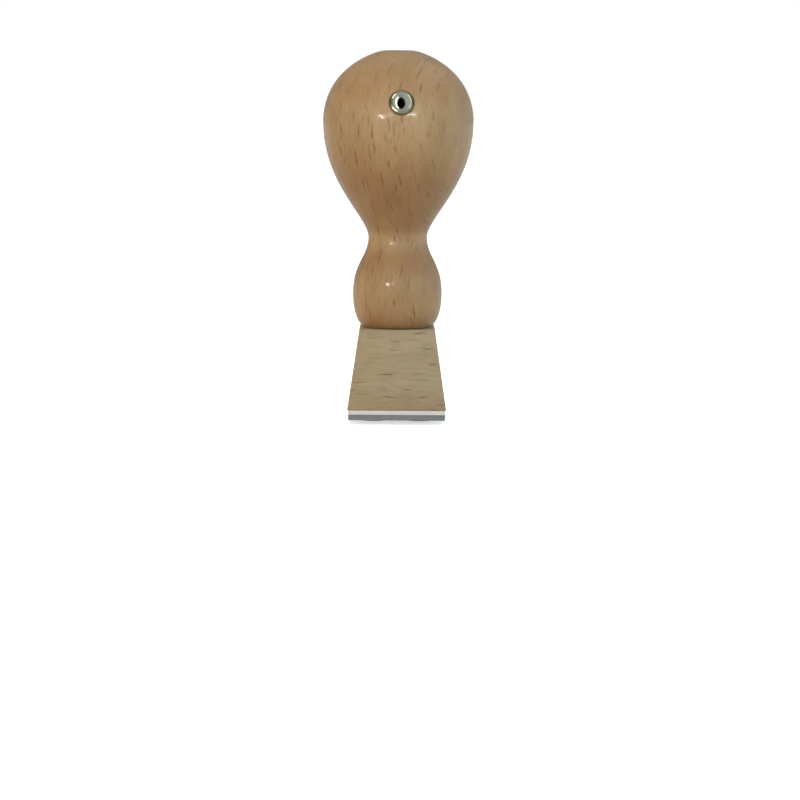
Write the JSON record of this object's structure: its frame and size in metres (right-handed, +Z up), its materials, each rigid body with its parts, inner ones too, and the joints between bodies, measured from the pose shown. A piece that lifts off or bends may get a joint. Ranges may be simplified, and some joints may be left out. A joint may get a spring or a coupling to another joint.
{
  "type": "wooden hand stamp",
  "caption": "Hand stamp with a turned beech handle on a tapered wooden block, a foam cushion and a rubber die in relief, and an eyelet in the knob that marks its front.",
  "frame": {"origin": "on the handle's axis, in the plane of the printing face that the stamp stands on", "axes": "+Z up the handle's axis, -Y towards the front that the eyelet marks, +X to the right when looking at the front"},
  "size_m": [0.035, 0.0357, 0.086],
  "materials": {
    "lacquered_beech": "turned and clear lacquered",
    "bare_beech": "sawn and sanded, unfinished",
    "nickel_plate": "polished nickel",
    "zinc_plate": "bright zinc plate",
    "foam": "closed-cell foam, cut edges",
    "die_rubber": "laser-engraved, matte"
  },
  "bodies": {
    "root": {"handle": "lacquered_beech", "eyelet": "nickel_plate", "mount_block": "bare_beech", "dowel_screw": "zinc_plate", "foam_cushion": "foam", "rubber_die": "die_rubber"}
  },
  "joints": []
}
